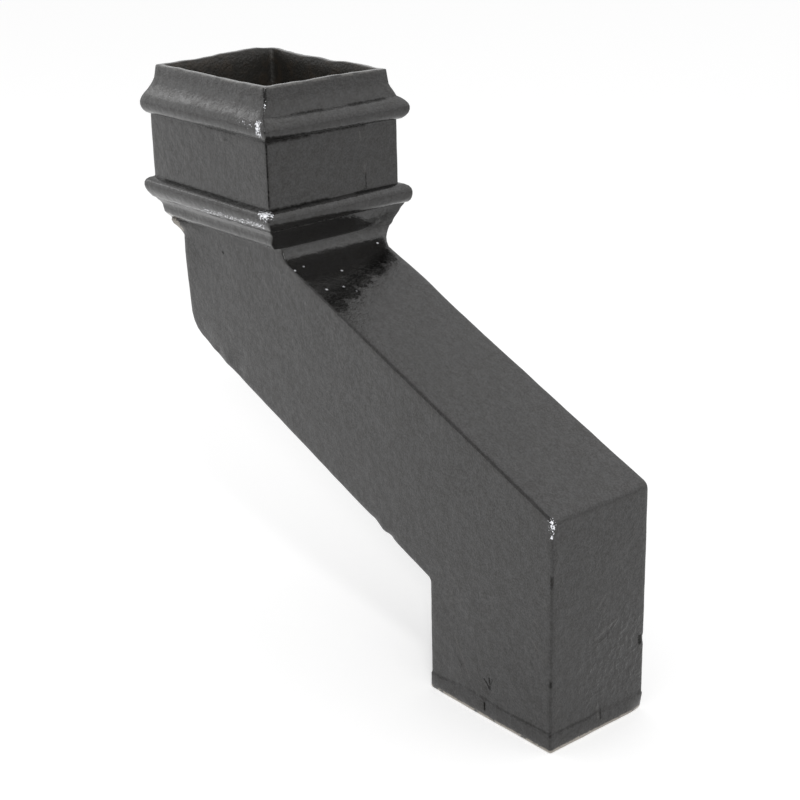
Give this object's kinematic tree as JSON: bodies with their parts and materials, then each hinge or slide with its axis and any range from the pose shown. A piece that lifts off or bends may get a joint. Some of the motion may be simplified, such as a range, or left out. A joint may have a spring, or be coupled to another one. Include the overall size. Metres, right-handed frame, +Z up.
{
  "type": "downpipe offset",
  "caption": "Rectangular cast iron rainwater pipe offset: a moulded socket above, a sloping hollow run and a plain spigot below.",
  "frame": {"origin": "centre of the spigot's end face, on the axis of the lower leg", "axes": "+X from the socket towards the spigot, +Y across the pipe's narrow side, +Z up along both legs towards the socket's mouth"},
  "size_m": [0.3548, 0.111, 0.3408],
  "materials": {
    "black_paint": "gloss black paint brushed over rough cast iron"
  },
  "bodies": {
    "root": {"offset_casting": "black_paint"}
  },
  "joints": []
}
